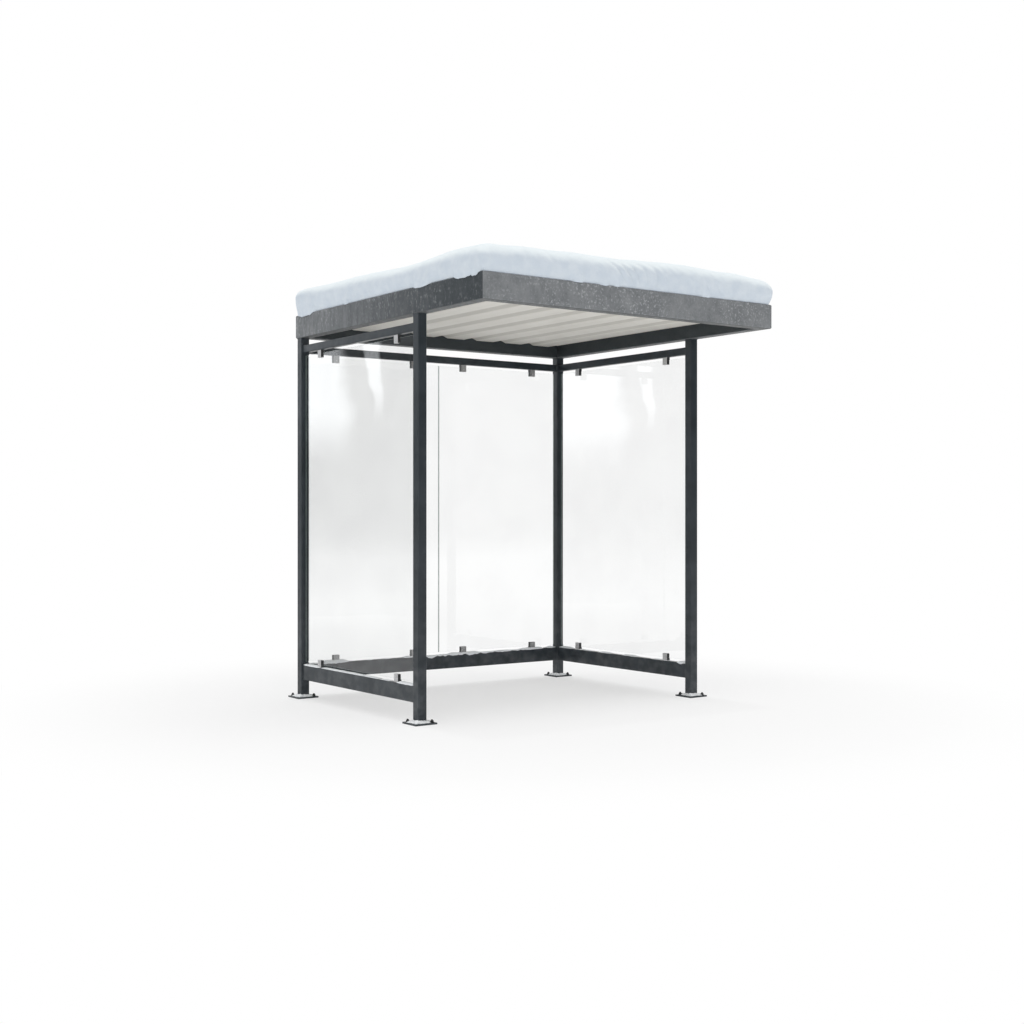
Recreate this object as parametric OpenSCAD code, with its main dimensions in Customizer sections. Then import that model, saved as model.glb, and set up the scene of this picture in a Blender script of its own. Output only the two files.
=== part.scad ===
// Smoking shelter: a post and beam frame in box steel, glazed on three sides,
// open at the front, with a projecting flat roof that carries settled snow.
// Millimetres. +X runs along the open front, +Y to the back wall, +Z up.
// The origin is on the ground, at the middle of the whole outline.

/* [Frame] */
// Width over the outer faces of the posts
bay_w = 2225; // [1800:5:3200]
// Depth over the outer faces of the posts
bay_d = 1546; // [1200:2:2400]
// Height of the underside of the roof beams
clear_h = 2422; // [2100:2:2800]
// Side of the square post tube
post_size = 60; // [50:1:80]
// Wall of the post tube
post_wall = 3; // [2:0.5:5]
// Outer radius along the edges of the post and rail tubes
edge_round = 5; // [2:0.5:8]

/* [Feet] */
// Side of the square base plate
plate_size = 150; // [140:2:200]
// Thickness of the base plate
plate_t = 10; // [8:1:20]
// Distance between the anchor holes of a plate, both ways
anchor_spacing = 104; // [100:2:120]
// Diameter of an anchor hole
anchor_hole_d = 14; // [10:1:18]

/* [Rails] */
// Thickness of the rails, across the wall
rail_t = 40; // [30:2:50]
// Wall of the rail tube
rail_wall = 3; // [2:0.5:4]
// Height of the lower rail's section
lower_rail_h = 100; // [60:2:140]
// Height of the lower rail's underside above the ground
lower_rail_z = 122; // [60:2:200]
// Height of the upper rail's section
upper_rail_h = 50; // [40:2:80]
// Gap between the upper rail and the roof beam
upper_gap = 51; // [20:1:100]

/* [Glazing] */
// Thickness of the glass
glass_t = 8; // [6:1:12]
// Gap between a pane's upright edge and its post
side_gap = 15; // [5:1:30]
// Gap between a pane and the rails above and below it
rail_gap = 20; // [10:1:24]
// Gap between the two panes of the back wall
joint_gap = 6; // [3:1:12]
// Width of a glass clamp
clamp_w = 45; // [36:1:60]
// Height of a glass clamp
clamp_h = 50; // [40:1:60]
// Thickness of a glass clamp, across the wall
clamp_t = 26; // [22:1:30]
// Distance from a clamp's middle to the end of its pane, side walls
side_clamp_inset = 208; // [120:2:300]
// Distance from a clamp's middle to the end of its pane, back wall
back_clamp_inset = 206; // [120:2:300]

/* [Roof] */
// Width of the roof beam's section
beam_w = 80; // [70:1:100]
// Height of the roof beam's section
beam_h = 154; // [130:2:200]
// Wall of the roof beam's tube
beam_wall = 4; // [3:0.5:6]
// Outer radius along the edges of the roof beam's tube
beam_round = 8; // [4:0.5:12]
// Reach of the roof past the posts' outer faces, sides and back
roof_reach = 7; // [2:1:10]
// Reach of the roof past the front posts
front_reach = 681; // [300:1:900]
// Height of the sheet's lower flats above the beams' underside
sheet_rise = 78; // [40:1:90]
// Spacing of the sheet's ribs
rib_pitch = 256; // [200:1:300]
// Width of the sheet's lower flats
rib_flat = 144; // [100:1:150]
// Width of the sheet's upper flats
rib_crown = 38; // [20:1:45]
// Depth of the sheet's ribs
rib_h = 15; // [10:1:20]
// Thickness of the sheet
sheet_t = 1; // [0.6:0.1:1.5]
// Distance of the sheets' lap from the middle of the roof
lap_offset = -10; // [-20:1:20]

/* [Snow] */
// Depth of the snow above the roof beams
snow_h = 172; // [60:2:250]
// Inset of the snow's foot from the roof's edge
snow_inset = 6; // [2:1:20]
// Size of the rounding along the snow's upper edge
snow_round = 66; // [20:2:80]
// Depth of the snow on the lower rails
rail_snow_h = 10; // [4:1:15]
// Depth of the snow on the base plates
plate_snow_h = 14; // [6:1:24]

/* [Hidden] */

$fn = 48;
eps = 1;                                       // how far a cutter runs past a face
least_round = 1;                               // smallest radius inside a tube
left = -1;
right = 1;
front = -1;
rear = 1;

// The outline runs from the front beam to the rear base plates.
plate_lip = (plate_size - post_size) / 2;
outline_front = -bay_d / 2 - front_reach;
outline_rear = bay_d / 2 + max(plate_lip, roof_reach);
bay_y = -(outline_front + outline_rear) / 2;   // middle of the four posts

post_x = (bay_w - post_size) / 2;
post_y = (bay_d - post_size) / 2;
rear_wall_y = bay_y + post_y;
wall_len_x = bay_w - 2 * post_size;            // clear length between the posts
wall_len_y = bay_d - 2 * post_size;

lower_rail_top = lower_rail_z + lower_rail_h;
upper_rail_z = clear_h - upper_gap - upper_rail_h;
glass_z = lower_rail_top + rail_gap;
glass_h = upper_rail_z - rail_gap - glass_z;
side_glass_l = wall_len_y - 2 * side_gap;
back_glass_l = (wall_len_x - 2 * side_gap - joint_gap) / 2;
back_glass_x = (back_glass_l + joint_gap) / 2;
side_clamp_x = side_glass_l / 2 - side_clamp_inset;
back_clamp_far = back_glass_x + back_glass_l / 2 - back_clamp_inset;
back_clamp_near = back_glass_x - back_glass_l / 2 + back_clamp_inset;

roof_x = bay_w / 2 + roof_reach;               // half the roof's width
roof_front = bay_y - bay_d / 2 - front_reach;
roof_rear = bay_y + bay_d / 2 + roof_reach;
roof_mid_y = (roof_front + roof_rear) / 2;
roof_half_y = (roof_rear - roof_front) / 2;
roof_top = clear_h + beam_h;
sheet_z = clear_h + sheet_rise;
crown_top = sheet_z + rib_h + sheet_t;
web_w = (rib_pitch - rib_flat - rib_crown) / 2;

steel_dark = [0.20, 0.22, 0.24];
steel_mottled = [0.45, 0.47, 0.49];
sheet_cream = [0.80, 0.79, 0.75];
stainless = [0.66, 0.67, 0.68];
glass_pale = [0.88, 0.92, 0.93, 0.35];
snow_white = [0.93, 0.95, 0.98];

// Rectangle with round corners, centred.
module round_rect(width, height, radius) {
    square([width - 2 * radius, height], center = true);
    square([width, height - 2 * radius], center = true);
    for (x = [-1, 1], y = [-1, 1])
        translate([x * (width / 2 - radius), y * (height / 2 - radius)])
            circle(r = radius);
}

// Section of a box tube, centred.
module tube_section(width, height, wall, radius) {
    difference() {
        round_rect(width, height, radius);
        round_rect(width - 2 * wall, height - 2 * wall, max(radius - wall, least_round));
    }
}

// Box tube along X, its section's middle on the axis.
module tube_along_x(length, width, height, wall, radius) {
    rotate([90, 0, 90])
        linear_extrude(length, center = true)
            tube_section(width, height, wall, radius);
}

// Rail along X, its underside at z = 0.
module rail_tube(length, height) {
    translate([0, 0, height / 2])
        tube_along_x(length, rail_t, height, rail_wall, edge_round);
}

// Places its children at the foot of one post.
module at_post(side, end) {
    translate([side * post_x, bay_y + end * post_y, 0])
        children();
}

// Places its children on a side wall, turned so that their X runs along it.
module on_side_wall(side) {
    translate([side * post_x, bay_y, 0])
        rotate([0, 0, 90])
            children();
}

// Places its children on the back wall.
module on_back_wall() {
    translate([0, rear_wall_y, 0])
        children();
}

module anchor_places() {
    for (x = [-1, 1], y = [-1, 1])
        translate([x * anchor_spacing / 2, y * anchor_spacing / 2])
            children();
}

module post(side, end) {
    color(steel_dark)
        at_post(side, end)
            translate([0, 0, plate_t])
                linear_extrude(clear_h - plate_t)
                    tube_section(post_size, post_size, post_wall, edge_round);
}

module base_plate(side, end) {
    color(steel_dark)
        at_post(side, end)
            difference() {
                translate([-plate_size / 2, -plate_size / 2, 0])
                    cube([plate_size, plate_size, plate_t]);
                anchor_places()
                    translate([0, 0, -eps])
                        cylinder(d = anchor_hole_d, h = plate_t + 2 * eps);
            }
}

module lower_rail(length) {
    color(steel_dark)
        translate([0, 0, lower_rail_z])
            rail_tube(length, lower_rail_h);
}

module upper_rail(length) {
    color(steel_dark)
        translate([0, 0, upper_rail_z])
            rail_tube(length, upper_rail_h);
}

// A sheet of glass along X, its middle on the axis.
module pane(length) {
    color(glass_pale)
        translate([-length / 2, -glass_t / 2, glass_z])
            cube([length, glass_t, glass_h]);
}

// A clamp on a lower rail, slotted for the edge of the glass.
module clamp() {
    difference() {
        translate([-clamp_w / 2, -clamp_t / 2, 0])
            cube([clamp_w, clamp_t, clamp_h]);
        translate([-clamp_w / 2 - eps, -glass_t / 2, rail_gap])
            cube([clamp_w + 2 * eps, glass_t, clamp_h]);
    }
}

// The four clamps of one pane, two on each rail.
module pane_clamps(length, inset) {
    color(stainless)
        for (end = [-1, 1])
            translate([end * (length / 2 - inset), 0, 0]) {
                translate([0, 0, lower_rail_top])
                    clamp();
                translate([0, 0, upper_rail_z])
                    mirror([0, 0, 1])
                        clamp();
            }
}

module back_pane(side) {
    on_back_wall()
        translate([side * back_glass_x, 0, 0])
            pane(back_glass_l);
}

module back_clamps(side) {
    on_back_wall()
        translate([side * back_glass_x, 0, 0])
            pane_clamps(back_glass_l, back_clamp_inset);
}

module side_clamps(side) {
    on_side_wall(side)
        pane_clamps(side_glass_l, side_clamp_inset);
}

// One roof beam along X: a box tube with mitred ends.
// half_l is half its outer length, and its outer face looks along -Y.
module mitred_beam(half_l) {
    color(steel_mottled)
        intersection() {
            translate([0, beam_w / 2, beam_h / 2])
                tube_along_x(2 * (half_l + eps), beam_w, beam_h, beam_wall, beam_round);
            translate([0, 0, -eps])
                linear_extrude(beam_h + 2 * eps)
                    polygon([
                        [-half_l - eps, -eps],
                        [half_l + eps, -eps],
                        [half_l - beam_w - eps, beam_w + eps],
                        [-half_l + beam_w + eps, beam_w + eps],
                    ]);
        }
}

module roof_beam_across(end) {
    translate([0, roof_mid_y + end * roof_half_y, clear_h])
        rotate([0, 0, end == front ? 0 : 180])
            mitred_beam(roof_x);
}

module roof_beam_along(side) {
    translate([side * roof_x, roof_mid_y, clear_h])
        rotate([0, 0, side * 90])
            mitred_beam(roof_half_y);
}

// Underside of the ribbed sheet at x, counted from the middle of a crown.
function rib_height(x) =
    let (u = abs(x - rib_pitch * round(x / rib_pitch)))
    u <= rib_crown / 2 ? rib_h :
    u >= rib_crown / 2 + web_w ? 0 :
    rib_h * (1 - (u - rib_crown / 2) / web_w);

// Where the ribbed sheet's outline bends between two places.
function rib_bends(from, to) =
    let (
        near = 0.01,
        last = ceil((max(abs(from), abs(to)) + rib_pitch) / rib_pitch),
        half = rib_crown / 2,
        offsets = [-half - web_w, -half, half, half + web_w],
        all = [for (k = [-last : last], u = offsets) k * rib_pitch + u]
    )
    concat([from], [for (x = all) if (x > from + near && x < to - near) x], [to]);

module ribbed_sheet(from, to) {
    bends = rib_bends(from, to);
    count = len(bends);
    under = [for (x = bends) [x, rib_height(x)]];
    upper = [for (i = [count - 1 : -1 : 0]) [bends[i], rib_height(bends[i]) + sheet_t]];
    color(sheet_cream)
        translate([lap_offset, roof_rear - beam_w, sheet_z])
            rotate([90, 0, 0])
                linear_extrude(roof_rear - roof_front - 2 * beam_w)
                    polygon(concat(under, upper));
}

module roof_sheet_left() {
    ribbed_sheet(-roof_x + beam_w - lap_offset, 0);
}

module roof_sheet_right() {
    ribbed_sheet(0, roof_x - beam_w - lap_offset);
}

// Plan of the roof, moved in by an inset.
module roof_plan(inset, height) {
    translate([-roof_x + inset, roof_front + inset, 0])
        cube([2 * (roof_x - inset), roof_rear - roof_front - 2 * inset, height]);
}

// Snow heaped on the beams, with its inner part down on the sheet's crowns.
module snow_heap() {
    foot = 4;                                  // upright lower edge of the heap
    steps = 4;
    bed = roof_top - crown_top;
    straight = snow_h - snow_round;
    turn = 90 / steps;
    color(snow_white)
        union() {
            translate([0, 0, crown_top])
                roof_plan(beam_w, bed + foot);
            translate([0, 0, roof_top])
                hull() {
                    roof_plan(snow_inset, straight);
                    for (i = [1 : steps])
                        translate([0, 0, straight - foot + snow_round * sin(i * turn)])
                            roof_plan(snow_inset + snow_round * (1 - cos(i * turn)), foot);
                }
        }
}

// Snow strip on a lower rail, cut round the clamps that stand on it.
module rail_snow(length, clamp_xs) {
    bare_edge = 2;                             // steel left bare on each side
    strip_w = rail_t - 2 * bare_edge;
    color(snow_white)
        translate([0, 0, lower_rail_top])
            difference() {
                translate([-length / 2, -strip_w / 2, 0])
                    cube([length, strip_w, rail_snow_h]);
                for (x = clamp_xs)
                    translate([x - clamp_w / 2, -clamp_t / 2, -eps])
                        cube([clamp_w, clamp_t, rail_snow_h + 2 * eps]);
            }
}

module side_rail_snow(side) {
    on_side_wall(side)
        rail_snow(wall_len_y, [-side_clamp_x, side_clamp_x]);
}

module back_rail_snow() {
    on_back_wall()
        rail_snow(wall_len_x, [
            -back_clamp_far,
            -back_clamp_near,
            back_clamp_near,
            back_clamp_far,
        ]);
}

// Snow on a base plate, melted back round the anchors.
module plate_snow(side, end) {
    bare_edge = 4;                             // steel left bare along the plate's rim
    melt_d = 2 * anchor_hole_d;
    color(snow_white)
        at_post(side, end)
            translate([0, 0, plate_t])
                linear_extrude(plate_snow_h)
                    difference() {
                        square(plate_size - 2 * bare_edge, center = true);
                        square(post_size, center = true);
                        anchor_places()
                            circle(d = melt_d);
                    }
}

post(left, front);  // post_front_left
post(right, front);  // post_front_right
post(left, rear);  // post_rear_left
post(right, rear);  // post_rear_right

base_plate(left, front);  // base_plate_front_left
base_plate(right, front);  // base_plate_front_right
base_plate(left, rear);  // base_plate_rear_left
base_plate(right, rear);  // base_plate_rear_right

on_side_wall(left) lower_rail(wall_len_y);  // lower_rail_left
on_back_wall() lower_rail(wall_len_x);  // lower_rail_back
on_side_wall(right) lower_rail(wall_len_y);  // lower_rail_right

on_side_wall(left) upper_rail(wall_len_y);  // upper_rail_left
on_back_wall() upper_rail(wall_len_x);  // upper_rail_back
on_side_wall(right) upper_rail(wall_len_y);  // upper_rail_right

on_side_wall(left) pane(side_glass_l);  // glass_left
back_pane(left);  // glass_back_left
back_pane(right);  // glass_back_right
on_side_wall(right) pane(side_glass_l);  // glass_right

side_clamps(left);  // clamps_left
back_clamps(left);  // clamps_back_left
back_clamps(right);  // clamps_back_right
side_clamps(right);  // clamps_right

roof_beam_across(front);  // roof_beam_front
roof_beam_across(rear);  // roof_beam_rear
roof_beam_along(left);  // roof_beam_left
roof_beam_along(right);  // roof_beam_right

roof_sheet_left();
roof_sheet_right();

snow_heap();  // roof_snow

side_rail_snow(left);  // rail_snow_left
back_rail_snow();  // rail_snow_back
side_rail_snow(right);  // rail_snow_right

plate_snow(left, front);  // plate_snow_front_left
plate_snow(right, front);  // plate_snow_front_right
plate_snow(left, rear);  // plate_snow_rear_left
plate_snow(right, rear);  // plate_snow_rear_right
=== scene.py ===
"""Looks of the smoking shelter: steel frame, clamped glass, ribbed roof and settled snow.

Every length is in metres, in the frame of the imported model. The steel, the glass and
the sheets are the model's own solids with finished materials. The snow, the anchors,
the welds and the clamp screws are meshes made here.
"""

import math

import bmesh
import bpy
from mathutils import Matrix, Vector, noise


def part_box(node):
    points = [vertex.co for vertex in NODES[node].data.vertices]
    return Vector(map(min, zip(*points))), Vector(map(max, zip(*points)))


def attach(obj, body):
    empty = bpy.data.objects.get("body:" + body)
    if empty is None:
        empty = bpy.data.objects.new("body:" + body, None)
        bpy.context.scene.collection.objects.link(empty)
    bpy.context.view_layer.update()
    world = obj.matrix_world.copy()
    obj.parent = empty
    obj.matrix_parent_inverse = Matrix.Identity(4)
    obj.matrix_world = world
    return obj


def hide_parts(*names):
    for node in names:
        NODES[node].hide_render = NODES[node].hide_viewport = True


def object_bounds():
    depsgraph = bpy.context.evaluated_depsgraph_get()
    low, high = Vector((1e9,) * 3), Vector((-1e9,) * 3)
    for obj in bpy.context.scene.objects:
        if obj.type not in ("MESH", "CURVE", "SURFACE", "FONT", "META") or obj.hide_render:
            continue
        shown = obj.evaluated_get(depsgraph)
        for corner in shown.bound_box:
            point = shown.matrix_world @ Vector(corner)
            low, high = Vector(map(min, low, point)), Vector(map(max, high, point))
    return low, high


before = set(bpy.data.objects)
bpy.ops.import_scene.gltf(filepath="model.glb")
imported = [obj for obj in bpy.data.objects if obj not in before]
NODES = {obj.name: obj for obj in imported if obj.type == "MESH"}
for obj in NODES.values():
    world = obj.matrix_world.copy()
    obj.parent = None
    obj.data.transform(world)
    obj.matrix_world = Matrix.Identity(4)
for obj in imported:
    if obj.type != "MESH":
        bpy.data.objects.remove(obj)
CAD_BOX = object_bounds()

# Camera
CAMERA_AT = (-5.521, -7.562, 1.2505)
CAMERA_HEADING = 35.59     # degrees from +Y towards +X
CAMERA_LENS = 49.95        # mm
SENSOR = 36.0              # mm

# Light
SKY = 0.80                 # strength of the world on matt surfaces
OVERHEAD = 0.75            # sun straight above, which gives the roof's shadow
OVERHEAD_ANGLE = 2.4       # degrees
BOUNCE = 0.38              # weak sun from below, for light off bright ground all round
BOUNCE_ANGLE = 70          # degrees
WHITE = (1.0, 1.0, 1.0, 1.0)

CORNERS = ("front_left", "front_right", "rear_left", "rear_right")


# ---------------------------------------------------------------- small tools

def ramp_up(value, low, high):
    """0 below low, 1 above high, and a smooth step between."""
    t = min(max((value - low) / (high - low), 0.0), 1.0)
    return t * t * (3 - 2 * t)


def between(points, at):
    """A smooth curve through (place, value) points, level past both ends."""
    if at <= points[0][0]:
        return points[0][1]
    for (a, value_a), (b, value_b) in zip(points, points[1:]):
        if at <= b:
            return value_a + (value_b - value_a) * ramp_up(at, a, b)
    return points[-1][1]


def wander(x, y, z, size, seed=0.0):
    """Smooth noise from -1 to 1 whose lumps are about size across."""
    return noise.noise(Vector((x / size + seed, y / size, z / size)))


def box_of(*names):
    """Lowest and highest corner of several CAD nodes together."""
    boxes = [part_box(name) for name in names]
    low = Vector([min(b[0][i] for b in boxes) for i in range(3)])
    high = Vector([max(b[1][i] for b in boxes) for i in range(3)])
    return low, high


def plain_object(name, bm):
    """Turns a bmesh into an object of the scene."""
    mesh = bpy.data.meshes.new(name)
    bm.to_mesh(mesh)
    bm.free()
    made = bpy.data.objects.new(name, mesh)
    bpy.context.scene.collection.objects.link(made)
    return made


def new_piece(name, bm, material, smooth=True):
    """Adds a finished mesh to the scene as a piece that rides on the shelter."""
    bmesh.ops.recalc_face_normals(bm, faces=bm.faces)
    piece = plain_object(name, bm)
    for face in piece.data.polygons:
        face.use_smooth = smooth
    piece.data.materials.append(material)
    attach(piece, "root")
    return piece


def skin(bm, rings):
    """Joins rings of points with faces, and closes the first and last ring."""
    made = [[bm.verts.new(point) for point in ring] for ring in rings]
    count = len(made[0])
    for lower, upper in zip(made, made[1:]):
        for i in range(count):
            j = (i + 1) % count
            bm.faces.new((lower[i], lower[j], upper[j], upper[i]))
    bm.faces.new(reversed(made[0]))
    bm.faces.new(made[-1])


def spun(bm, profile, sides, centre, axis, turn=0.0):
    """A closed solid of revolution: profile holds (radius, height) pairs along axis."""
    up = Vector(axis).normalized()
    across = up.orthogonal().normalized()
    along = up.cross(across)
    rings = []
    for radius, height in profile:
        ring = []
        for i in range(sides):
            a = turn + 2 * math.pi * i / sides
            spoke = across * math.cos(a) + along * math.sin(a)
            ring.append(Vector(centre) + up * height + spoke * radius)
        rings.append(ring)
    skin(bm, rings)


# ------------------------------------------------------------------ materials

class Finish:
    """A material with a Principled shader, and short calls that add nodes to it."""

    def __init__(self, name):
        self.material = bpy.data.materials.new(name)
        self.material.use_nodes = True
        self.tree = self.material.node_tree
        self.shader = self.tree.nodes["Principled BSDF"]
        self.place = self.add("ShaderNodeTexCoord").outputs["Object"]
        self.normal = self.add("ShaderNodeNewGeometry").outputs["Normal"]

    def add(self, kind, **settings):
        node = self.tree.nodes.new(kind)
        for key, value in settings.items():
            setattr(node, key, value)
        return node

    def feed(self, socket, value):
        """Sets an input to a number, a colour or another node's output."""
        if isinstance(value, bpy.types.NodeSocket):
            self.tree.links.new(value, socket)
        elif hasattr(value, "__len__") and socket.type == "RGBA" and len(value) == 3:
            socket.default_value = (*value, 1.0)
        else:
            socket.default_value = value

    def finish(self, shader):
        """Ends the material with another shader than the Principled one."""
        self.tree.nodes.remove(self.shader)
        self.feed(self.tree.nodes["Material Output"].inputs["Surface"], shader.outputs[0])

    def set(self, **inputs):
        """Sets inputs of the Principled shader, with _ for each space in a name."""
        for key, value in inputs.items():
            self.feed(self.shader.inputs[key.replace("_", " ")], value)

    def math(self, operation, a, b=0.0, clamp=False):
        node = self.add("ShaderNodeMath", operation=operation, use_clamp=clamp)
        self.feed(node.inputs[0], a)
        self.feed(node.inputs[1], b)
        return node.outputs[0]

    def stretched(self, factors):
        """Object coordinates multiplied by factors, for patterns with a direction."""
        node = self.add("ShaderNodeVectorMath", operation="MULTIPLY")
        self.feed(node.inputs[0], self.place)
        self.feed(node.inputs[1], factors)
        return node.outputs[0]

    def noise(self, scale, detail=3.0, place=None):
        node = self.add("ShaderNodeTexNoise")
        self.feed(node.inputs["Vector"], place or self.place)
        self.feed(node.inputs["Scale"], scale)
        self.feed(node.inputs["Detail"], detail)
        return node.outputs["Fac"]

    def cells(self, scale):
        """A random colour to each cell of a pattern."""
        node = self.add("ShaderNodeTexVoronoi")
        self.feed(node.inputs["Vector"], self.place)
        self.feed(node.inputs["Scale"], scale)
        return node.outputs["Color"]

    def span(self, value, low, high, out_low=0.0, out_high=1.0):
        """Maps value from low..high to out_low..out_high with a smooth step."""
        node = self.add("ShaderNodeMapRange", interpolation_type="SMOOTHSTEP")
        for key, number in (("Value", value), ("From Min", low), ("From Max", high),
                            ("To Min", out_low), ("To Max", out_high)):
            self.feed(node.inputs[key], number)
        return node.outputs["Result"]

    def blend(self, share, a, b):
        """Colour a where share is 0 and b where it is 1."""
        node = self.add("ShaderNodeMix", data_type="RGBA")
        self.feed(node.inputs["Factor"], share)
        self.feed(node.inputs[6], a)
        self.feed(node.inputs[7], b)
        return node.outputs[2]

    def part(self, vector, axis):
        """One coordinate of a vector."""
        node = self.add("ShaderNodeSeparateXYZ")
        self.feed(node.inputs[0], vector)
        return node.outputs["XYZ".index(axis)]

    def facing(self, direction):
        """1 on faces that look along direction, 0 elsewhere."""
        node = self.add("ShaderNodeVectorMath", operation="DOT_PRODUCT")
        self.feed(node.inputs[0], self.normal)
        self.feed(node.inputs[1], direction)
        return self.span(node.outputs["Value"], 0.6, 0.8)

    def bump(self, height, distance, strength=1.0, under=None):
        node = self.add("ShaderNodeBump")
        self.feed(node.inputs["Height"], height)
        self.feed(node.inputs["Distance"], distance)
        self.feed(node.inputs["Strength"], strength)
        if under is not None:
            self.feed(node.inputs["Normal"], under)
        return node.outputs["Normal"]


def dark_steel():
    """Anthracite coating with a fine grain, scuffs, and a lighter film that thins upwards: dust
    and painted reflection of the floor.
    """
    s = Finish("dark_steel")
    coat = s.blend(s.span(s.noise(5.0, 5.0), 0.35, 0.68),
                   (0.021, 0.029, 0.036), (0.034, 0.044, 0.053))
    scuff = s.span(s.noise(75.0, 4.0), 0.64, 0.76, 0.0, 0.30)
    coat = s.blend(scuff, coat, (0.085, 0.092, 0.098))
    # Lighter towards the bottom: dust and a painted reflection of the floor.
    low = s.span(s.part(s.place, "Z"), 0.05, 0.90, 0.68, 0.0)
    dust = s.math("MULTIPLY", low, s.span(s.noise(14.0, 5.0), 0.35, 0.75))
    coat = s.blend(dust, coat, (0.098, 0.108, 0.117))
    grain = s.bump(s.noise(420.0, 2.0), 0.00022, 0.5)
    waves = s.bump(s.noise(11.0, 2.0), 0.0008, 0.35, under=grain)
    s.set(Base_Color=coat, Roughness=s.span(s.noise(24.0, 4.0), 0.3, 0.7, 0.30, 0.42),
          Normal=waves)
    return s.material


def beam_steel(name, inward, fade=False):
    """Mottled zinc outside, with painted shade underneath and, on the left beam, towards its
    front end; a darker tone on the inner face.
    """
    s = Finish(name)
    clouds = s.noise(9.0, 5.0)
    zinc = s.blend(s.span(clouds, 0.32, 0.68), (0.186, 0.197, 0.207), (0.250, 0.261, 0.271))
    flakes = s.part(s.cells(70.0), "X")
    zinc = s.blend(s.span(flakes, 0.15, 1.0, 0.0, 0.40), zinc, (0.275, 0.286, 0.296))
    pits = s.span(s.noise(95.0, 3.0, place=s.stretched((1.0, 1.0, 0.5))), 0.60, 0.70, 0.0, 0.40)
    zinc = s.blend(pits, zinc, (0.100, 0.108, 0.115))
    run_share = 0.68 if fade else 0.20
    runs = s.span(s.noise(30.0, 4.0, place=s.stretched((1.0, 1.0, 0.22))), 0.30, 0.72,
                  0.0, run_share)
    zinc = s.blend(runs, zinc, (0.110, 0.120, 0.129))
    fleck = (0.46, 0.475, 0.49)
    # Painted shade: the left beam and its flecks darken towards the front end, in place of a dark
    # reflection.
    if fade:
        low, high = box_of("roof_beam_left")
        run = s.math("ADD", s.part(s.place, "Y"), s.math("MULTIPLY", s.noise(3.0), 0.25))
        painted_shade_to_front = s.span(run, low.y + 0.15, high.y + 0.15, 0.90, 0.0)
        zinc = s.blend(painted_shade_to_front, zinc, (0.032, 0.041, 0.048))
        fleck = s.blend(painted_shade_to_front, fleck, (0.175, 0.190, 0.200))
    bright = s.span(s.noise(3.3, 3.0), 0.38, 0.62, 0.25, 1.0)
    speck_place = s.stretched((1.0, 1.0, 0.6)) if fade else s.place
    specks = s.span(s.noise(72.0, 6.0, place=speck_place), 0.520, 0.700)
    zinc = s.blend(s.math("MULTIPLY", specks, s.math("MULTIPLY", bright, 0.70)), zinc, fleck)
    # Painted shade: faces that look down are a flat darker grey.
    zinc = s.blend(s.facing((0, 0, -1)), zinc, (0.115, 0.122, 0.126))
    # Faces that look into the shelter take a darker tone.
    coat = s.blend(s.noise(6.0, 4.0), (0.034, 0.042, 0.047), (0.053, 0.062, 0.067))
    surface = s.blend(s.facing(inward), zinc, coat)
    grain = s.bump(s.noise(260.0, 2.0), 0.0002, 0.5)
    waves = s.bump(s.noise(9.0, 2.0), 0.0010, 0.35, under=grain)
    s.set(Base_Color=surface, Roughness=s.span(flakes, 0.0, 1.0, 0.42, 0.58),
          Specular_IOR_Level=0.3, Normal=waves)
    return s.material


def cream_sheet():
    """Coated roof sheet seen from below, with faint streaks and spots, and painted shade in the
    hollows of its ribs.
    """
    s = Finish("cream_sheet")
    low, high = box_of("roof_sheet_left", "roof_sheet_right")
    tone = s.blend(s.span(s.noise(1.7, 5.0), 0.3, 0.7),
                   (0.790, 0.768, 0.708), (0.840, 0.820, 0.764))
    lines = s.noise(5.0, 4.0, place=s.stretched((6.0, 0.35, 1.0)))
    tone = s.blend(s.span(lines, 0.52, 0.72, 0.0, 0.12), tone, (0.50, 0.47, 0.40))
    spots = s.span(s.noise(120.0, 2.0), 0.70, 0.78, 0.0, 0.10)
    tone = s.blend(spots, tone, (0.42, 0.40, 0.36))
    # Painted shade: the hollows of the ribs are darker.
    hollow = s.span(s.part(s.place, "Z"), low.z + 0.0008, low.z + 0.0045, 0.0, 0.55)
    tone = s.blend(hollow, tone, (0.500, 0.482, 0.440))
    s.set(Base_Color=tone, Roughness=s.span(s.noise(12.0), 0.3, 0.7, 0.40, 0.52),
          Normal=s.bump(s.noise(380.0, 2.0), 0.00015, 0.5))
    return s.material


def clear_glass():
    """Toughened glass: a faint tint, slight roller waves and a trace of dust."""
    s = Finish("clear_glass")
    dust = s.span(s.noise(3.0, 6.0), 0.35, 0.75)
    tint = s.blend(dust, (0.986, 0.991, 0.989), (0.958, 0.962, 0.962))
    waves = s.noise(2.2, 1.0, place=s.stretched((0.6, 0.6, 2.6)))
    s.set(Base_Color=tint, Roughness=0.0, IOR=1.45, Transmission_Weight=1.0,
          Normal=s.bump(waves, 0.0012, 0.25))
    return s.material


def glass_edge():
    """The ground edge of a pane, which gathers light."""
    s = Finish("glass_edge")
    tone = s.blend(s.noise(40.0, 4.0), (0.30, 0.40, 0.36), (0.50, 0.60, 0.56))
    s.set(Base_Color=tone, Roughness=0.28, Normal=s.bump(s.noise(300.0), 0.0003, 0.4))
    return s.material


def brushed_clamp(name, ends, light=0.70):
    """Brushed stainless clamp, with painted shade on the ends that look along the wall."""
    s = Finish(name)
    lines = s.noise(300.0, 3.0, place=s.stretched((0.1, 0.1, 4.0)))
    dull = 0.76 * light
    face = s.blend(lines, (dull, dull * 1.01, dull * 1.02), (light, light, light * 1.01))
    # Painted shade: the faces that look along ends are dark.
    along = s.math("ADD", s.facing(ends), s.facing([-v for v in ends]), clamp=True)
    s.set(Base_Color=s.blend(along, face, (0.075, 0.077, 0.08)), Metallic=0.35,
          Roughness=s.span(lines, 0.2, 0.8, 0.34, 0.46),
          Normal=s.bump(lines, 0.00012, 0.6))
    return s.material


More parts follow.
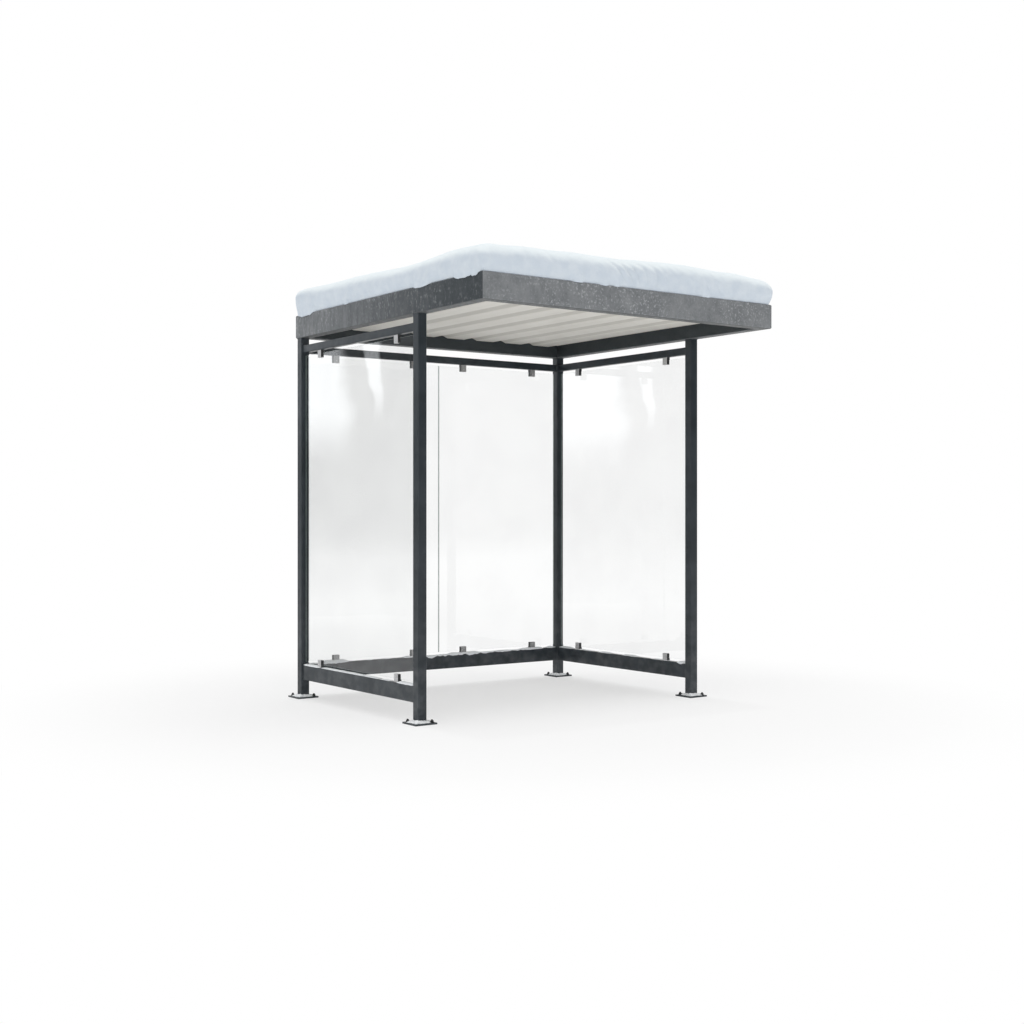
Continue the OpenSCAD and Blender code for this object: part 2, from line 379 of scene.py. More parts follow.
def settled_snow(name, shaded_tone, lit_tone):
    """Old snow with painted shade: lighter above, cooler and greyer on its upright faces."""
    s = Finish(name)
    # Painted shade: faces that look up take the lit tone, upright faces the cooler shaded tone.
    up = s.span(s.part(s.normal, "Z"), -0.08, 0.66)
    tone = s.blend(up, shaded_tone, lit_tone)
    clumps = s.span(s.noise(16.0, 6.0), 0.30, 0.72)
    tone = s.blend(s.math("MULTIPLY", clumps, 0.22), tone, (0.920, 0.960, 0.975))
    hollow = s.span(s.noise(6.0, 4.0), 0.55, 0.80, 0.0, 0.20)
    tone = s.blend(hollow, tone, [0.93 * v for v in shaded_tone])
    crust = s.bump(s.noise(170.0, 5.0), 0.0018, 0.60)
    lumps = s.bump(s.noise(26.0, 4.0), 0.0060, 0.45, under=crust)
    s.set(Base_Color=tone, Roughness=0.85, Specular_IOR_Level=0.2, Normal=lumps)
    return s.material


def anchor_steel():
    """Dark, slightly mottled zinc of the anchors."""
    s = Finish("anchor_steel")
    tone = s.blend(s.span(s.noise(220.0, 4.0), 0.4, 0.7),
                   (0.020, 0.021, 0.022), (0.060, 0.060, 0.058))
    s.set(Base_Color=tone, Metallic=0.4, Roughness=s.span(s.noise(150.0), 0.3, 0.7, 0.35, 0.55),
          Normal=s.bump(s.noise(500.0), 0.0002, 0.5))
    return s.material


# --------------------------------------------------------- camera and light

def make_camera():
    """A level view from in front and to the left."""
    data = bpy.data.cameras.new("camera")
    data.sensor_width = SENSOR
    data.lens = CAMERA_LENS
    camera = bpy.data.objects.new("camera", data)
    camera.location = CAMERA_AT
    camera.rotation_euler = (math.radians(90), 0, math.radians(-CAMERA_HEADING))
    bpy.context.scene.collection.objects.link(camera)
    bpy.context.scene.camera = camera


def seen_directly(tree):
    """1 for what the camera sees, straight on, mirrored or through glass."""
    path = tree.nodes.new("ShaderNodeLightPath")
    total = path.outputs["Is Camera Ray"]
    for kind in ("Is Glossy Ray", "Is Transmission Ray"):
        add = tree.nodes.new("ShaderNodeMath")
        add.operation = "ADD"
        add.use_clamp = True
        tree.links.new(total, add.inputs[0])
        tree.links.new(path.outputs[kind], add.inputs[1])
        total = add.outputs[0]
    first = tree.nodes.new("ShaderNodeMath")
    first.operation = "LESS_THAN"
    first.inputs[1].default_value = 0.5
    tree.links.new(path.outputs["Diffuse Depth"], first.inputs[0])
    both = tree.nodes.new("ShaderNodeMath")
    both.operation = "MULTIPLY"
    tree.links.new(total, both.inputs[0])
    tree.links.new(first.outputs[0], both.inputs[1])
    return both.outputs[0]


def make_world():
    """A white surround: full white where it is seen, softer where it lights."""
    world = bpy.data.worlds.new("white_surround")
    bpy.context.scene.world = world
    world.use_nodes = True
    tree = world.node_tree
    strength = tree.nodes.new("ShaderNodeMapRange")
    strength.inputs["To Min"].default_value = SKY
    strength.inputs["To Max"].default_value = 1.0
    tree.links.new(seen_directly(tree), strength.inputs["Value"])
    back = tree.nodes["Background"]
    back.inputs["Color"].default_value = WHITE
    tree.links.new(strength.outputs["Result"], back.inputs["Strength"])


def make_sun(name, energy, angle, height, tilt):
    """A sun on the Z axis. tilt is 0 for light straight down, and 180 for straight up."""
    data = bpy.data.lights.new(name, "SUN")
    data.energy = energy
    data.angle = math.radians(angle)
    lamp = bpy.data.objects.new(name, data)
    lamp.rotation_euler = (math.radians(tilt), 0, 0)
    lamp.location = (0, 0, height)
    bpy.context.scene.collection.objects.link(lamp)


def make_floor():
    """A pale floor that takes the shadow near the shelter and is plain white further off. Its
    white holds a painted soft shadow near the shelter and painted light over the front of the
    roof's shadow.
    """
    half = 60.0
    below = 0.0005                       # keeps the feet clear of the floor's face
    behind = 0.2                         # middle of the shadow, back from the outline's
    shadow_from, shadow_to = 1.4, 3.7    # where the shadow starts to fade, and is gone
    fade_end = 0.25                      # y from which painted light fades the roof's shadow out towards the front
    least_white = 0.55                   # share of plain white under the shelter
    front_white = 0.88                   # and at the front edge of the roof, painted light over the roof's shadow
    tone = 0.945                         # how light the plain white is under the shelter, a painted soft shadow
    mirror_painted_shade = 0.58                   # the same near the shelter, as reflections see it: painted shade
    mirror_from, mirror_to = 3.5, 10.0
    bm = bmesh.new()
    corners = ((-half, -half), (half, -half), (half, half), (-half, half))
    bm.faces.new([bm.verts.new((x, y, -below)) for x, y in corners])
    floor = plain_object("floor", bm)

    s = Finish("pale_floor")
    middle = (CAD_BOX[0] + CAD_BOX[1]) / 2
    away = s.add("ShaderNodeVectorMath", operation="DISTANCE")
    s.feed(away.inputs[0], s.place)
    s.feed(away.inputs[1], (middle.x, middle.y + behind, 0))
    plain = s.span(away.outputs["Value"], shadow_from, shadow_to, 0.0, 1.0)
    # Painted light: more plain white towards the roof's front edge fades the roof's shadow out
    # there.
    painted_light_ahead = s.span(s.part(s.place, "Y"), CAD_BOX[0].y, fade_end, front_white, least_white)
    white = s.math("MAXIMUM", painted_light_ahead, s.span(plain, 0.0, 1.0, least_white, 1.0))
    share = s.math("MULTIPLY", white, seen_directly(s.tree))
    matt = s.add("ShaderNodeBsdfDiffuse")
    s.feed(matt.inputs["Color"], (0.93, 0.93, 0.93))
    glow = s.add("ShaderNodeEmission")
    # Painted shadow: the plain white is greyer near the shelter.
    glow_with_painted_shadow = s.blend(plain, (tone, tone, tone), (1.0, 1.0, 1.0))
    path = s.add("ShaderNodeLightPath")
    # Painted shade: reflections see the floor near the shelter greyer.
    mirrored = s.math("GREATER_THAN", path.outputs["Glossy Depth"], 0.5)
    nearby = s.span(away.outputs["Value"], mirror_from, mirror_to, 1.0, 0.0)
    glow_with_painted_shadow = s.blend(s.math("MULTIPLY", mirrored, nearby), glow_with_painted_shadow, [mirror_painted_shade] * 3)
    s.feed(glow.inputs["Color"], glow_with_painted_shadow)
    mix = s.add("ShaderNodeMixShader")
    s.feed(mix.inputs[0], share)
    s.feed(mix.inputs[1], matt.outputs[0])
    s.feed(mix.inputs[2], glow.outputs[0])
    s.finish(mix)
    floor.data.materials.append(s.material)
    floor.visible_shadow = False


def make_surround():
    """Dark screens far off, met only by reflections, open low down and at one bright gap.

    The panes mirror them, so the glass is a little greyer than what is behind it.
    """
    radius, top, steps = 9.0, 9.0, 24
    bm = bmesh.new()
    for first, last in ((-95, 20), (112, 190)):      # degrees from +X towards +Y
        ring = []
        for k in range(steps + 1):
            a = math.radians(first + (last - first) * k / steps)
            ring.append((radius * math.cos(a), radius * math.sin(a)))
        low = [bm.verts.new((x, y, 0.0)) for x, y in ring]
        high = [bm.verts.new((x, y, top)) for x, y in ring]
        for k in range(steps):
            bm.faces.new((low[k], low[k + 1], high[k + 1], high[k]))
    screen = plain_object("surround", bm)

    s = Finish("dark_screen")
    x, y, z = (s.part(s.place, axis) for axis in "XYZ")
    # The bearing runs in degrees from -X towards +Y. The bright gap starts at 56 and a
    # thin bright slit stands at 54.2, both with ragged sides.
    bearing = s.math("ARCTAN2", y, s.math("MULTIPLY", x, -1.0))
    bearing = s.math("MULTIPLY", bearing, 180 / math.pi)
    ragged = s.math("MULTIPLY", s.math("SUBTRACT", s.noise(1.1, 5.0), 0.5), 3.0)
    rough_bearing = s.math("ADD", bearing, ragged)
    at_left = s.span(x, -2.0, 1.0, 1.0, 0.0)
    solid = s.blend(at_left, s.span(z, 0.55, 1.0), s.span(z, -0.4, 1.5))
    gap = s.math("MULTIPLY", s.span(rough_bearing, 55.8, 57.2), s.span(z, 1.75, 2.55))
    gap = s.math("MAXIMUM", gap, s.span(z, 3.0, 4.2, 0.0, 0.50))
    slit = s.math("ABSOLUTE", s.math("SUBTRACT", rough_bearing, 54.2))
    slit = s.math("MULTIPLY", s.span(slit, 0.25, 0.60, 1.0, 0.0), s.span(z, 2.3, 2.8))
    open_part = s.math("MULTIPLY", s.math("MAXIMUM", gap, slit), at_left)
    solid = s.math("MAXIMUM", solid, open_part)
    path = s.add("ShaderNodeLightPath")
    mirrored = s.math("GREATER_THAN", path.outputs["Glossy Depth"], 0.5)
    clear = s.add("ShaderNodeBsdfTransparent")
    dark = s.add("ShaderNodeEmission")
    dark_tone, bright_tone = (0.050, 0.052, 0.055), (1.45, 1.50, 1.55)
    s.feed(dark.inputs["Color"], s.blend(open_part, dark_tone, bright_tone))
    mix = s.add("ShaderNodeMixShader")
    s.feed(mix.inputs[0], s.math("MULTIPLY", solid, mirrored))
    s.feed(mix.inputs[1], clear.outputs[0])
    s.feed(mix.inputs[2], dark.outputs[0])
    s.finish(mix)
    screen.data.materials.append(s.material)
    screen.visible_camera = False
    screen.visible_diffuse = False
    screen.visible_shadow = False


# --------------------------------------------------------------- CAD finishes

def finish_nodes():
    """Gives every CAD node its materials, and returns the dark steel of the frame."""
    steel = dark_steel()
    beams = {
        "roof_beam_front": beam_steel("zinc_front", (0, 1, 0)),
        "roof_beam_rear": beam_steel("zinc_rear", (0, -1, 0)),
        # The left beam takes painted shade towards its front end.
        "roof_beam_left": beam_steel("zinc_left", (1, 0, 0), fade=True),
        "roof_beam_right": beam_steel("zinc_right", (-1, 0, 0)),
    }
    sheet = cream_sheet()
    glass = clear_glass()
    edge = glass_edge()
    clamp_side = brushed_clamp("clamp_side_wall", (0, 1, 0))
    # Painted shade: the back wall's clamps are a darker copy of the same steel.
    clamp_back_shaded = brushed_clamp("clamp_back_wall_shaded", (1, 0, 0), light=0.47)
    for name, node in NODES.items():
        materials = node.data.materials
        materials.clear()
        if name in beams:
            materials.append(beams[name])
        elif name.startswith("roof_sheet"):
            materials.append(sheet)
        elif name.startswith("glass"):
            materials.append(glass)
            materials.append(edge)
            low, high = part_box(name)
            across = 0 if high.x - low.x < high.y - low.y else 1
            for face in node.data.polygons:
                face.material_index = 0 if abs(face.normal[across]) > 0.5 else 1
            node.visible_shadow = False
        elif name.startswith("clamps"):
            materials.append(clamp_back_shaded if "back" in name else clamp_side)
            soften(node, 0.0012)
        else:
            materials.append(steel)
            if name.startswith("base_plate"):
                soften(node, 0.001)
    return steel


def soften(node, width):
    """Rounds the sharp edges of a plain solid a little."""
    bevel = node.modifiers.new("soft_edges", "BEVEL")
    bevel.width = width
    bevel.segments = 2
    bevel.limit_method = "ANGLE"


# ----------------------------------------------------------------- roof snow

ROOF_LOW, ROOF_HIGH = box_of("roof_beam_front", "roof_beam_rear",
                             "roof_beam_left", "roof_beam_right")
SNOW_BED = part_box("roof_snow")[0].z      # top of the sheets' ribs
SHEET_LOW, SHEET_HIGH = box_of("roof_sheet_left", "roof_sheet_right")

# Height of the snow above the beams along the front, and along the left side.
FRONT_SWELL = ((-1.12, 0.162), (-0.75, 0.176), (-0.15, 0.175), (0.36, 0.192),
               (0.80, 0.176), (1.12, 0.158))
LEFT_SWELL = ((-1.12, 0.164), (-0.86, 0.168), (-0.30, 0.153), (0.28, 0.174), (1.10, 0.172))
# Snow hanging over the beams: (middle, half width, depth), along the left side and the front.
LEFT_DRIPS = ((0.95, 0.14, 0.019), (0.40, 0.03, 0.008), (-0.50, 0.11, 0.014),
              (-0.95, 0.12, 0.018), (-1.06, 0.05, 0.020))
FRONT_DRIPS = ((-0.45, 0.05, 0.005), (-0.26, 0.04, 0.007), (-0.16, 0.03, 0.005),
               (0.55, 0.05, 0.004))


def snow_height(x, y):
    """Height of the roof snow above the beams."""
    usual = 0.172
    near_front = math.exp(-((y - ROOF_LOW.y) / 0.55) ** 2)
    near_left = math.exp(-((x - ROOF_LOW.x) / 0.55) ** 2)
    height = usual
    height += (between(FRONT_SWELL, x) - usual) * near_front * (1 - 0.5 * near_left)
    height += (between(LEFT_SWELL, y) - usual) * near_left * (1 - 0.5 * near_front)
    height += 0.010 * wander(x, y, 0, 0.55, 3.1) + 0.0035 * wander(x, y, 0, 0.16, 8.4)
    return height


def drip_depth(x, y):
    """How far the snow hangs down over the outer face of the beam here."""
    depth = 0.0
    if x < ROOF_LOW.x + 0.02:
        runs, at = LEFT_DRIPS, y
    elif y < ROOF_LOW.y + 0.02:
        runs, at = FRONT_DRIPS, x
    else:
        return 0.006 * max(0.0, wander(x, y, 0, 0.22, 5.7) - 0.15)
    for middle, half, deep in runs:
        share = 1 - ramp_up(abs(at - middle), half * 0.35, half)
        depth = max(depth, deep * share)
    ragged = 1 + 0.35 * wander(x, y, 0, 0.028, 1.9)
    return max(0.0, depth * ragged + 0.0015 * wander(x, y, 0, 0.05, 6.6))


def outline(low, high, corner, count_x, count_y):
    """Points round a rectangle with round corners, each with its outward direction."""
    points = []
    arc_steps = 8
    inner_low = Vector((low.x + corner, low.y + corner))
    inner_high = Vector((high.x - corner, high.y - corner))
    turns = ((inner_high.x, inner_low.y, -90, count_y), (inner_high.x, inner_high.y, 0, count_x),
             (inner_low.x, inner_high.y, 90, count_y), (inner_low.x, inner_low.y, 180, count_x))
    for k, (cx, cy, start, count) in enumerate(turns):
        for i in range(arc_steps + 1):
            a = math.radians(start + 90 * i / arc_steps)
            out = Vector((math.cos(a), math.sin(a)))
            points.append((Vector((cx, cy)) + out * corner, out))
        nx, ny = turns[(k + 1) % 4][:2]
        a = math.radians(start + 90)
        out = Vector((math.cos(a), math.sin(a)))
        first = Vector((cx, cy)) + out * corner
        last = Vector((nx, ny)) + out * corner
        for i in range(1, count):
            points.append((first.lerp(last, i / count), out))
    return points


def crease(x, y, z):
    """Slanting slump marks on the face of the snow, from 0 to 1."""
    spacing = 0.125
    slope = (x + y) * 0.80 + z * 0.60
    wave = math.sin(2 * math.pi * slope / spacing + 3.4 * wander(x, y, z, 0.20, 4.4))
    share = ramp_up(wander(x, y, z, 0.32, 9.3), -0.25, 0.25)
    share *= ramp_up(x - ROOF_LOW.x, 0.18, 0.50) + 0.40 * ramp_up(y - ROOF_LOW.y, 0.30, 0.70)
    share = min(share, 1.0) * (1 - ramp_up(y, ROOF_LOW.y + 0.2, ROOF_LOW.y + 0.5) * 0.6)
    return (1 - abs(wave)) ** 2 * share


def roof_snow(material):
    """The roof's snow: a foot on the beams, a steep side, a round shoulder and the top."""
    corner, shoulder_corner, upper_corner = 0.028, 0.042, 0.108
    foot_in = 0.008             # how far the foot stands in from the beam's face
    lip = 0.006                 # how far the foot stands out past it where the snow hangs
    count_x, count_y = 196, 190
    side_rings, round_rings, top_rings = 15, 12, 34
    middle = Vector(((ROOF_LOW.x + ROOF_HIGH.x) / 2, (ROOF_LOW.y + ROOF_HIGH.y) / 2))
    base = ROOF_HIGH.z
    lift = 0.0008               # keeps the snow clear of the steel and the sheet
    bed_in = 0.002              # keeps it clear of the sheet's sides
    lower, shoulder_line, upper = (outline(ROOF_LOW, ROOF_HIGH, radius, count_x, count_y)
                                   for radius in (corner, shoulder_corner, upper_corner))
    hang = [drip_depth(point.x, point.y) for point, _ in lower]
    bed = []
    for point, _ in lower:
        bed.append(Vector((min(max(point.x, SHEET_LOW.x + bed_in), SHEET_HIGH.x - bed_in),
                           min(max(point.y, SHEET_LOW.y + bed_in), SHEET_HIGH.y - bed_in))))

    def rear_left(point):
        """1 at the roof's rear left corner, where the snow is squarer."""
        return ramp_up(point.y, 0.5, 1.05) * ramp_up(-point.x, 0.9, 1.1)

    def bulge(point):
        """How far the snow stands out past the beam at its shoulder."""
        right = ramp_up(point.x, ROOF_HIGH.x - 0.45, ROOF_HIGH.x)
        swell = 0.008 + 0.016 * right + 0.012 * rear_left(point)
        return max(0.0, swell + 0.004 * wander(point.x, point.y, 0, 0.35, 2.2))

    def shoulder(point):
        """Where the side turns into the round shoulder, as a share of the height."""
        return 0.56 + 0.14 * rear_left(point)

    def rough(p, z):
        """Lumps and slump marks on the snow's face, outwards."""
        lumps = 0.0050 * wander(p.x, p.y, z, 0.13, 7.7) + 0.0022 * wander(p.x, p.y, z, 0.045, 2.8)
        return lumps - 0.0085 * crease(p.x, p.y, z)

    rings = [[Vector((*p, SNOW_BED + lift)) for p in bed],
             [Vector((*p, base + lift)) for p in bed],
             [Vector((*(p - out * (foot_in + lip)), base + lift)) for p, out in lower]]
    for k in range(side_rings + 1):
        rise = k / side_rings
        ring = []
        for (low_point, low_out), (up_point, up_out), drip in zip(lower, shoulder_line, hang):
            point = low_point.lerp(up_point, rise)
            out = low_out.lerp(up_out, rise).normalized()
            over = ramp_up(drip, 0.0, 0.006)
            height = snow_height(point.x, point.y)
            z = -drip + (shoulder(point) * height + drip) * rise + lift
            foot = -foot_in + (foot_in + lip) * over
            reach = foot + (bulge(point) - foot) * math.sin(math.pi / 2 * rise)
            p = point + out * reach
            p += out * rough(p, z) * ramp_up(rise, 0.0, 0.35)
            ring.append(Vector((p.x, p.y, base + z)))
        rings.append(ring)
    for k in range(1, round_rings + 1):
        a = math.pi / 2 * k / round_rings
        ring = []
        for (low_point, low_out), (up_point, up_out) in zip(shoulder_line, upper):
            point = low_point.lerp(up_point, k / round_rings)
            out = low_out.lerp(up_out, k / round_rings).normalized()
            height = snow_height(point.x, point.y)
            start = shoulder(point)
            round_in = 0.078 - 0.036 * rear_left(point)
            z = height * (start + (1 - start) * math.sin(a)) + lift
            p = point + out * (bulge(point) - round_in * (1 - math.cos(a)))
            p += out * rough(p, z) * math.cos(a)
            ring.append(Vector((p.x, p.y, base + z)))
        rings.append(ring)
    rim = rings[-1]
    for k in range(1, top_rings):
        share = 1 - k / top_rings
        settle = ramp_up(k / top_rings, 0.0, 0.12)
        ring = []
        for point in rim:
            flat = middle + (Vector((point.x, point.y)) - middle) * share
            depth = snow_height(flat.x, flat.y)
            z = (point.z - base) * (1 - settle) + (depth + lift) * settle
            ring.append(Vector((flat.x, flat.y, base + z)))
        rings.append(ring)
    bm = bmesh.new()
    skin(bm, rings)
    bmesh.ops.remove_doubles(bm, verts=bm.verts, dist=0.00002)
    piece = new_piece("roof_snow_drift", bm, material)
    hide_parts("roof_snow")


# ------------------------------------------------------- snow on rails and feet

ANCHOR_REACH = 0.052        # from the middle of a plate to an anchor, both ways

# Patches of snow along each lower rail: (from, to, depth, hang over the visible edge).
BACK_PATCHES = (
    (-1.045, -0.955, 0.010, 0.002), (-0.945, -0.735, 0.030, 0.010),
    (-0.725, -0.690, 0.006, 0.0), (-0.590, -0.545, 0.007, 0.003),
    (-0.450, -0.400, 0.006, 0.003), (-0.300, -0.215, 0.016, 0.005),
    (-0.130, -0.020, 0.004, 0.019), (-0.025, 0.085, 0.006, 0.012), (0.075, 0.355, 0.019, 0.017),
    (0.350, 0.480, 0.003, 0.012), (0.475, 0.640, 0.009, 0.009), (0.636, 0.720, 0.002, 0.008),
    (0.715, 0.930, 0.018, 0.007), (0.965, 1.048, 0.020, 0.004),
)
RIGHT_PATCHES = (
    (-0.392, -0.300, 0.019, 0.013), (-0.205, -0.020, 0.007, 0.0), (0.130, 0.290, 0.014, 0.002),
    (0.420, 0.560, 0.012, 0.002), (0.640, 0.830, 0.006, 0.0), (0.870, 1.028, 0.019, 0.002),
)
LEFT_PATCHES = (
    (-0.392, -0.185, 0.018, 0.003), (-0.100, 0.020, 0.004, 0.0), (0.040, 0.230, 0.008, 0.0),
    (0.220, 0.780, 0.012, 0.001), (0.800, 1.028, 0.018, 0.003),
)


def rail_patch(bm, start, end, depth, hang, across, line, top, half):
    """One patch of snow on a rail. line is the rail's middle, and it hangs on the low side."""
    step = 0.006
    count = max(4, round((end - start) / step))
    rings = []
    for i in range(count + 1):
        run = start + (end - start) * i / count
        ends = min(i, count - i) * step
        full = math.sqrt(ramp_up(ends, -0.002, 0.045))
        seed = line * 3.0 + 0.7
        thick = depth * full * (1 + 0.22 * wander(run, seed, 0, 0.05)) + 0.0006
        drop = hang * full * max(0.0, 1 + 0.45 * wander(run, seed + 5, 0, 0.035))
        lip = 0.0035 * ramp_up(drop, 0.0, 0.004)
        front = half - 0.003 + lip + 0.0012 * wander(run, seed + 9, 0, 0.03)
        back = -half + 0.003 + 0.002 * wander(run, seed + 2, 0, 0.04)
        profile = [(back, 0.0), (back + 0.0005, thick * 0.45), (back + 0.003, thick * 0.80),
                   (back + 0.008, thick * 0.97), (0.0, thick), (front - 0.010, thick * 0.98),
                   (front - 0.004, thick * 0.84), (front - 0.001, thick * 0.52),
                   (front, -drop * 0.35), (front - 0.0008, -drop * 0.85),
                   (front - 0.0028, -drop - 0.0002), (front - 0.0040, -drop * 0.5),
                   (half - 0.0055, 0.0002)]
        ring = []
        for v, z in profile:
            place = [0.0, 0.0, top + z]
            place[across] = line - v
            place[1 - across] = run
            ring.append(Vector(place))
        rings.append(ring)
    skin(bm, rings)


def rail_snow(wall, patches, material):
    """The patches of snow on one lower rail, settled to a share of their first depth."""
    settled = 0.55
    low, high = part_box("lower_rail_" + wall)
    across = 1 if wall == "back" else 0
    line = (low[across] + high[across]) / 2
    half = (high[across] - low[across]) / 2
    bm = bmesh.new()
    for start, end, depth, hang in patches:
        rail_patch(bm, start, end, settled * depth, hang, across, line, high.z, half)
    piece = new_piece("rail_snow_" + wall + "_drift", bm, material)
    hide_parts("rail_snow_" + wall)


def keep_largest(bm):
    """Deletes all of a mesh but its largest connected part."""
    left, largest = set(bm.verts), set()
    while left:
        found = {left.pop()}
        queue = list(found)
        while queue:
            vert = queue.pop()
            for edge in vert.link_edges:
                other = edge.other_vert(vert)
                if other in left:
                    left.discard(other)
                    found.add(other)
                    queue.append(other)
        if len(found) > len(largest):
            largest = found
    bmesh.ops.delete(bm, geom=[v for v in bm.verts if v not in largest], context="VERTS")


def foot_snow(corner, material):
    """Snow on one base plate: deep over two of its anchors, melted back round the others."""
    low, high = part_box("base_plate_" + corner)
    post_low, post_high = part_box("post_" + corner)
    middle = (low + high) / 2
    half = (high.x - low.x) / 2
    post_half = (post_high.x - post_low.x) / 2
    seed = {"front_left": 1.0, "front_right": 4.0, "rear_left": 7.0, "rear_right": 11.0}[corner]
    bare = 0.006                # steel left bare along the plate's rim
    cells = 56                  # squares to a side
    least = 0.0012              # thinner snow is left out
    lift = 0.0002

    def depth(u, v):
        """Depth of the snow at a place on the plate, measured from its middle."""
        rim = half - bare + 0.004 * wander(u, v, seed, 0.030)
        edge = rim - max(abs(u), abs(v))
        if edge <= 0:
            return 0.0
        thick = 0.0085 * ramp_up(edge, -0.004, 0.016) + 0.0020 * wander(u, v, seed, 0.022)
        wall = max(abs(u), abs(v)) - post_half
        drift = 0.0045 + 0.004 * wander(u, v, seed + 3, 0.016)
        thick += drift * (1 - ramp_up(wall, 0.0, 0.010))
        for side_u, side_v in ((-1, -1), (1, -1), (-1, 1), (1, 1)):
            gap = math.hypot(u - side_u * ANCHOR_REACH, v - side_v * ANCHOR_REACH)
            if side_u * side_v > 0:
                thick += 0.0115 * (1 - ramp_up(gap, 0.006, 0.022))
            else:
                thick *= ramp_up(gap, 0.013, 0.024)
        return thick

    step = 2 * half / cells
    bm = bmesh.new()
    tops, feet = {}, {}
    for i in range(cells + 1):
        for j in range(cells + 1):
            u, v = -half + i * step, -half + j * step
            thick = depth(u, v)
            inside = max(abs(u), abs(v)) < post_half - 0.001
            if thick > least and not inside:
                tops[i, j] = bm.verts.new((middle.x + u, middle.y + v, high.z + thick))
                feet[i, j] = bm.verts.new((middle.x + u, middle.y + v, high.z + lift))
    used = {}
    for i in range(cells):
        for j in range(cells):
            ring = [(i, j), (i + 1, j), (i + 1, j + 1), (i, j + 1)]
            if all(key in tops for key in ring):
                bm.faces.new([tops[key] for key in ring])
                bm.faces.new([feet[key] for key in reversed(ring)])
                for a, b in zip(ring, ring[1:] + ring[:1]):
                    used[a, b] = True
    for a, b in list(used):
        if (b, a) not in used:
            bm.faces.new((tops[b], tops[a], feet[a], feet[b]))
    keep_largest(bm)
    piece = new_piece("plate_snow_" + corner + "_drift", bm, material)
    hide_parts("plate_snow_" + corner)


# ------------------------------------------------------------- anchors, screws

def anchors(corner, material):
    """Four anchors of a base plate: washer, nut and the end of the rod."""
    washer = [(0.0125, 0.0001), (0.0135, 0.0006), (0.0135, 0.0020), (0.0128, 0.0026)]
    nut = [(0.0088, 0.0026), (0.0105, 0.0038), (0.0105, 0.0112), (0.0088, 0.0126)]
    rod_end = [(0.0058, 0.0120), (0.0058, 0.0170), (0.0046, 0.0184)]
    up = (0, 0, 1)
    low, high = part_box("base_plate_" + corner)
    middle = (low + high) / 2
    bm = bmesh.new()
    for k, (u, v) in enumerate(((-1, -1), (1, -1), (1, 1), (-1, 1))):
        at = (middle.x + u * ANCHOR_REACH, middle.y + v * ANCHOR_REACH, high.z)
        turn = math.radians(17 + 23 * k)
        spun(bm, washer, 28, at, up)
        spun(bm, nut, 6, at, up, turn)
        spun(bm, rod_end, 16, at, up)
    new_piece("anchors_" + corner, bm, material, smooth=False)


def clamp_screws(wall, material):
    """Low round screw heads on both broad faces of every clamp."""
    head = [(0.0062, 0.0001), (0.0062, 0.0012), (0.0054, 0.0026), (0.0036, 0.0032)]
    from_end = 0.035            # height of a screw from the clamps' outer ends
    name = "clamps_" + wall
    low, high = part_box(name)
    across = 1 if wall.startswith("back") else 0
    along = 1 - across
    spots = clamp_spots(name, along)
    bm = bmesh.new()
    for place in spots:
        for z in (low.z + from_end, high.z - from_end):
            for side, face in ((-1, low[across]), (1, high[across])):
                at = [0.0, 0.0, z]
                at[along] = place
                at[across] = face
                axis = [0.0, 0.0, 0.0]
                axis[across] = side
                spun(bm, head, 20, at, axis)
    new_piece("screws_" + wall, bm, material)


def clamp_spots(name, along):
    """Middles of the clamps of one node, along its wall."""
    clamp_gap = 0.08            # clamps lie further apart than this
    places = sorted(v.co[along] for v in NODES[name].data.vertices)
    groups = [[places[0]]]
    for place in places[1:]:
        if place - groups[-1][-1] > clamp_gap:
            groups.append([])
        groups[-1].append(place)
    return [(g[0] + g[-1]) / 2 for g in groups]


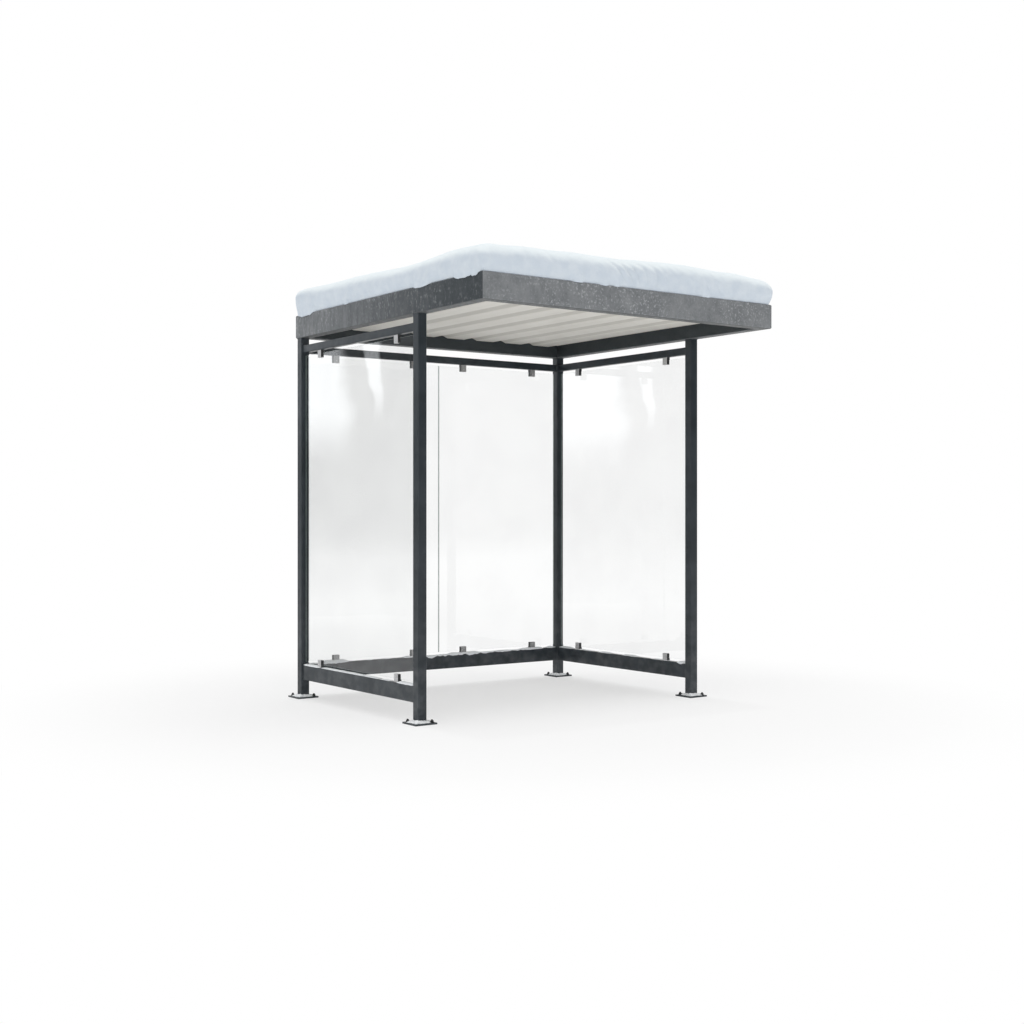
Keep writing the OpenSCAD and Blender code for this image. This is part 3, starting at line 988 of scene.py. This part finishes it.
def weld_ring(bm, centre, axis, half_a, half_b, bead, seed):
    """A rippled weld bead round a rectangular tube end. axis is the tube's direction."""
    corner = 0.005              # the tubes' outer radius
    step = 0.002
    loops = outline(Vector((-half_a, -half_b)), Vector((half_a, half_b)), corner,
                    max(2, round(half_a / step)), max(2, round(half_b / step)))
    sides = 6
    across, up = [i for i in range(3) if i != axis]
    rings = []
    for n, (point, out) in enumerate(loops):
        ripple = 1 + 0.16 * math.sin(n * 2.1 + seed) + 0.12 * wander(n * 0.01, seed, 0, 0.03)
        ring = []
        for k in range(sides):
            a = 2 * math.pi * k / sides
            reach = bead * ripple * math.cos(a)
            rise = bead * ripple * math.sin(a)
            flat = point + out * (reach * 0.9)
            place = [0.0, 0.0, 0.0]
            place[across] = centre[across] + flat.x
            place[up] = centre[up] + flat.y
            place[axis] = centre[axis] + rise
            ring.append(Vector(place))
        rings.append(ring)
    made = [[bm.verts.new(p) for p in ring] for ring in rings]
    for a, b in zip(made, made[1:] + made[:1]):
        for k in range(sides):
            m = (k + 1) % sides
            bm.faces.new((a[k], a[m], b[m], b[k]))


def welds(material):
    """Weld beads at both ends of every rail and post."""
    bead = 0.0032
    seed_step = 1.3
    bm = bmesh.new()
    seed = 0.0
    for level in ("lower", "upper"):
        for wall in ("left", "back", "right"):
            low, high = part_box(level + "_rail_" + wall)
            middle = (low + high) / 2
            axis = 0 if wall == "back" else 1
            cross = 1 - axis
            for end in (low[axis], high[axis]):
                centre = middle.copy()
                centre[axis] = end
                weld_ring(bm, centre, axis, (high[cross] - low[cross]) / 2,
                          (high.z - low.z) / 2, bead, seed)
                seed += seed_step
    for corner in CORNERS:
        low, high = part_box("post_" + corner)
        middle = (low + high) / 2
        for z in (low.z, high.z):
            weld_ring(bm, (middle.x, middle.y, z), 2, (high.x - low.x) / 2,
                      (high.y - low.y) / 2, bead, seed)
            seed += seed_step
    new_piece("weld_beads", bm, material)


# ----------------------------------------------------------------------- make

make_camera()
make_world()
make_sun("overhead", OVERHEAD, OVERHEAD_ANGLE, 8, 0)
make_sun("bounce", BOUNCE, BOUNCE_ANGLE, -2, 180)
make_floor()
make_surround()
bpy.context.scene.view_settings.view_transform = "Standard"

frame_steel = finish_nodes()
# Each snow: the colour of its upright faces, painted shade, then the colour of its top.
snow = settled_snow("settled_snow", (0.640, 0.712, 0.790), (0.852, 0.915, 0.943))
thin_snow = settled_snow("thin_snow", (0.900, 0.930, 0.965), (0.945, 0.962, 0.980))
roof_snow(snow)
rail_snow("back", BACK_PATCHES, thin_snow)
rail_snow("right", RIGHT_PATCHES, thin_snow)
rail_snow("left", LEFT_PATCHES, thin_snow)
anchor = anchor_steel()
# Screw heads in the clamp steel, with its painted shade on the faces that look up or down.
screw = brushed_clamp("screw_steel", (0, 0, 1))
for foot in CORNERS:
    foot_snow(foot, thin_snow)
    anchors(foot, anchor)
for wall_name in ("left", "back_left", "back_right", "right"):
    clamp_screws(wall_name, screw)
welds(frame_steel)
